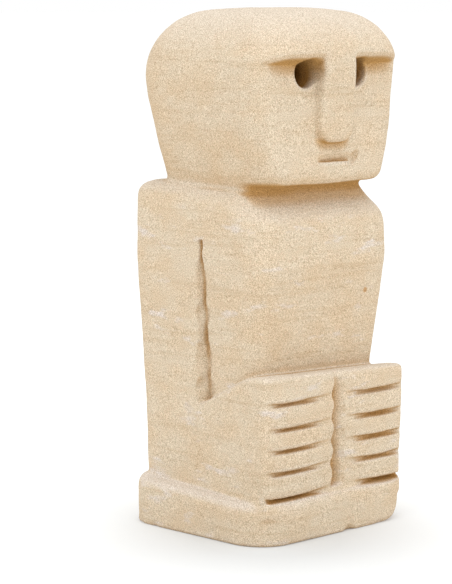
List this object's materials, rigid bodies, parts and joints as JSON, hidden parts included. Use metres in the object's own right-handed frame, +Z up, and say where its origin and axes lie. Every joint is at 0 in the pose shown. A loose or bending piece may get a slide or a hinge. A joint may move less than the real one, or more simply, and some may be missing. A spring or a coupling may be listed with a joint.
{
  "type": "carved stone figure",
  "caption": "Free-standing seated figure carved from one block of pale sandstone, with a square head, a plain torso, hands over the lap and a flat plinth to stand on.",
  "frame": {"origin": "middle of the flat underside, on the surface that the figure stands on", "axes": "+Z up along the block, the face and the hands look towards -Y, +X towards the figure's left hand"},
  "size_m": [0.128, 0.114, 0.3],
  "materials": {
    "sandstone": "matt, sawn and rubbed soft sandstone with a fine sandy grain"
  },
  "bodies": {
    "root": {"carved_figure": "sandstone"}
  },
  "joints": []
}
